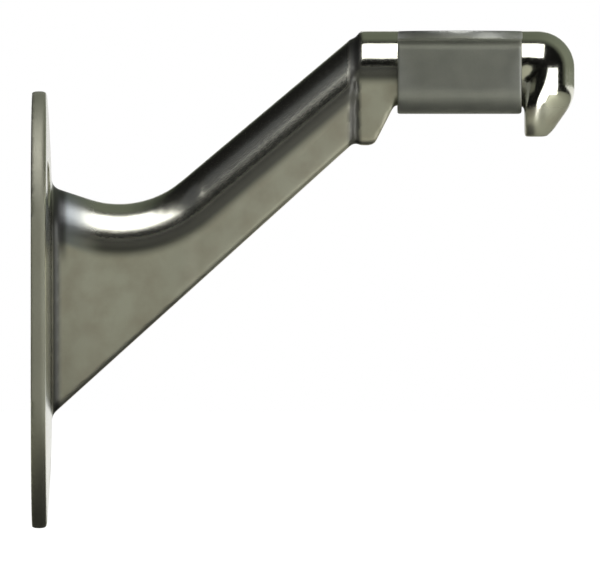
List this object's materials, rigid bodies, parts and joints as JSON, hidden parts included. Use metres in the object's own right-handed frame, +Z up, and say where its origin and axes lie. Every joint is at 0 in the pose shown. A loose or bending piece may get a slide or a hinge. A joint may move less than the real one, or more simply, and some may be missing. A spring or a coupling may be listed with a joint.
{
  "type": "handrail bracket",
  "caption": "Wall bracket for a handrail: a crowned oval-ended plate, a rising arm with a round bead, a hooked seat bar, and a folded strap under the bar that screws to the rail.",
  "frame": {"origin": "centre of the wall plate's flat back face", "axes": "+X away from the wall along the seat bar, +Z up, Y along the wall and along the rail"},
  "size_m": [0.095, 0.066, 0.087],
  "materials": {
    "casting": "bright nickel plate on a casting, polished on the bead and bar, satin on the flanks",
    "strap": "satin nickel plate on pressed strip"
  },
  "bodies": {
    "root": {"bracket_casting": "casting", "rail_strap": "strap"}
  },
  "joints": []
}
